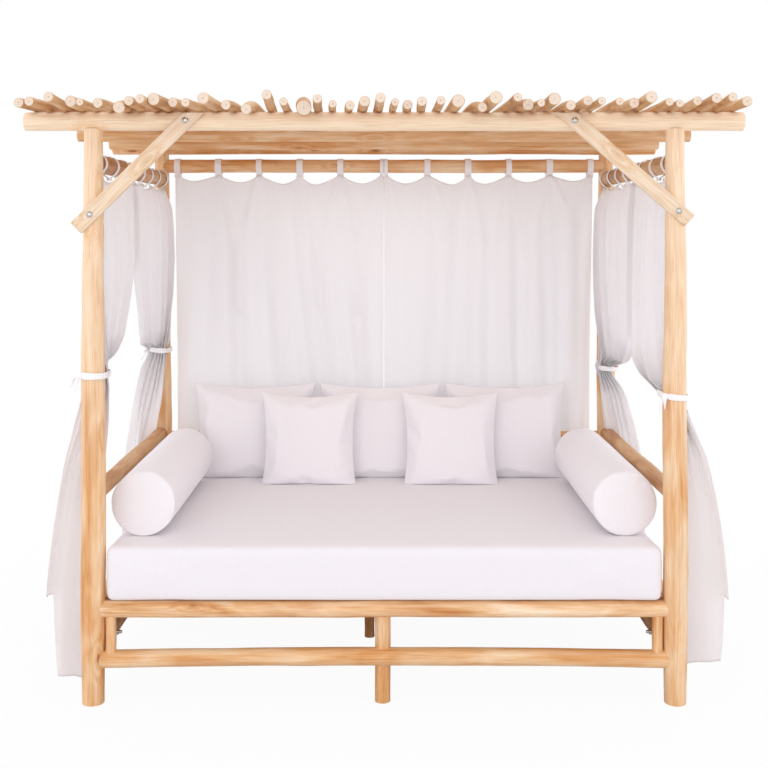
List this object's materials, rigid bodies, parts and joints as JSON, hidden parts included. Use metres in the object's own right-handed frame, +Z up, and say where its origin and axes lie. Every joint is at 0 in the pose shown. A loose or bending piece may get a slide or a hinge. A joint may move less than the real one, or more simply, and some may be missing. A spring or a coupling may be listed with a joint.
{
  "type": "outdoor daybed with canopy",
  "caption": "Outdoor daybed of round teak logs with a stick roof, white curtains, a mattress, bolsters and cushions.",
  "frame": {"origin": "on the ground, in the middle of the overall box", "axes": "+X to the right along the width, +Y to the back, +Z up; the open front faces -Y"},
  "size_m": [2.438, 1.68, 2.0603],
  "materials": {
    "teak_logs": "satin",
    "canopy_sticks": "matte",
    "mattress_cover": "matte",
    "cushion_cover": "matte",
    "curtain_cloth": "matte",
    "steel": "polished"
  },
  "bodies": {
    "root": {"back_rail": "teak_logs", "canopy_sticks_1": "canopy_sticks", "canopy_sticks_2": "canopy_sticks", "canopy_sticks_3": "canopy_sticks", "canopy_sticks_4": "canopy_sticks", "centre_beam": "teak_logs", "centre_leg": "teak_logs", "front_left_post": "teak_logs", "front_lower_rail": "teak_logs", "front_middle_leg": "teak_logs", "front_right_post": "teak_logs", "front_roof_beam": "teak_logs", "front_seat_rail": "teak_logs", "left_arm_rail": "teak_logs", "left_brace": "teak_logs", "left_brace_lower_bolt": "steel", "left_brace_upper_bolt": "steel", "left_curtain_rail": "teak_logs", "left_front_curtain": "curtain_cloth", "left_front_tie": "curtain_cloth", "left_lower_rail": "teak_logs", "left_rail_bolt": "steel", "left_rear_curtain": "curtain_cloth", "left_rear_tie": "curtain_cloth", "left_seat_rail": "teak_logs", "left_stub": "teak_logs", "middle_purlin": "teak_logs", "rear_curtain_rail": "teak_logs", "rear_left_curtain": "curtain_cloth", "rear_left_post": "teak_logs", "rear_lower_rail": "teak_logs", "rear_purlin": "teak_logs", "rear_right_curtain": "curtain_cloth", "rear_right_post": "teak_logs", "rear_roof_beam": "teak_logs", "rear_seat_rail": "teak_logs", "right_arm_rail": "teak_logs", "right_brace": "teak_logs", "right_brace_lower_bolt": "steel", "right_brace_upper_bolt": "steel", "right_curtain_rail": "teak_logs", "right_front_curtain": "curtain_cloth", "right_front_tie": "curtain_cloth", "right_lower_rail": "teak_logs", "right_rail_bolt": "steel", "right_rear_curtain": "curtain_cloth", "right_rear_tie": "curtain_cloth", "right_seat_rail": "teak_logs", "right_stub": "teak_logs", "slat_deck": "teak_logs"},
    "mattress_body": {"mattress": "mattress_cover"},
    "left_bolster_body": {"left_bolster": "cushion_cover"},
    "right_bolster_body": {"right_bolster": "cushion_cover"},
    "left_back_cushion_body": {"left_back_cushion": "cushion_cover"},
    "middle_back_cushion_body": {"middle_back_cushion": "cushion_cover"},
    "right_back_cushion_body": {"right_back_cushion": "cushion_cover"},
    "left_front_cushion_body": {"left_front_cushion": "cushion_cover"},
    "right_front_cushion_body": {"right_front_cushion": "cushion_cover"},
    "left_curtain_lead": {"rear_left_lead_loop": "curtain_cloth"},
    "right_curtain_lead": {"rear_right_lead_loop": "curtain_cloth"}
  },
  "joints": [
    {"name": "mattress_lift", "type": "slide", "parent": "root", "child": "mattress_body", "axis": [0, 0, 1], "range_m": [0, 0.2]},
    {"name": "left_bolster_lift", "type": "slide", "parent": "mattress_body", "child": "left_bolster_body", "axis": [0, 0, 1], "range_m": [0, 0.15]},
    {"name": "right_bolster_lift", "type": "slide", "parent": "mattress_body", "child": "right_bolster_body", "axis": [0, 0, 1], "range_m": [0, 0.15]},
    {"name": "left_back_cushion_lift", "type": "slide", "parent": "mattress_body", "child": "left_back_cushion_body", "axis": [0, 0.225, 0.9744], "range_m": [0, 0.1]},
    {"name": "middle_back_cushion_lift", "type": "slide", "parent": "mattress_body", "child": "middle_back_cushion_body", "axis": [0, 0.225, 0.9744], "range_m": [0, 0.1]},
    {"name": "right_back_cushion_lift", "type": "slide", "parent": "mattress_body", "child": "right_back_cushion_body", "axis": [0, 0.225, 0.9744], "range_m": [0, 0.1]},
    {"name": "left_front_cushion_lift", "type": "slide", "parent": "mattress_body", "child": "left_front_cushion_body", "axis": [0, 0.225, 0.9744], "range_m": [0, 0.25]},
    {"name": "right_front_cushion_lift", "type": "slide", "parent": "mattress_body", "child": "right_front_cushion_body", "axis": [0, 0.225, 0.9744], "range_m": [0, 0.25]},
    {"name": "left_curtain_draw", "type": "slide", "parent": "root", "child": "left_curtain_lead", "axis": [-1, 0, 0], "range_m": [0, 0.64], "deforming": ["rear_left_curtain"]},
    {"name": "right_curtain_draw", "type": "slide", "parent": "root", "child": "right_curtain_lead", "axis": [1, 0, 0], "range_m": [0, 0.64], "deforming": ["rear_right_curtain"]}
  ]
}
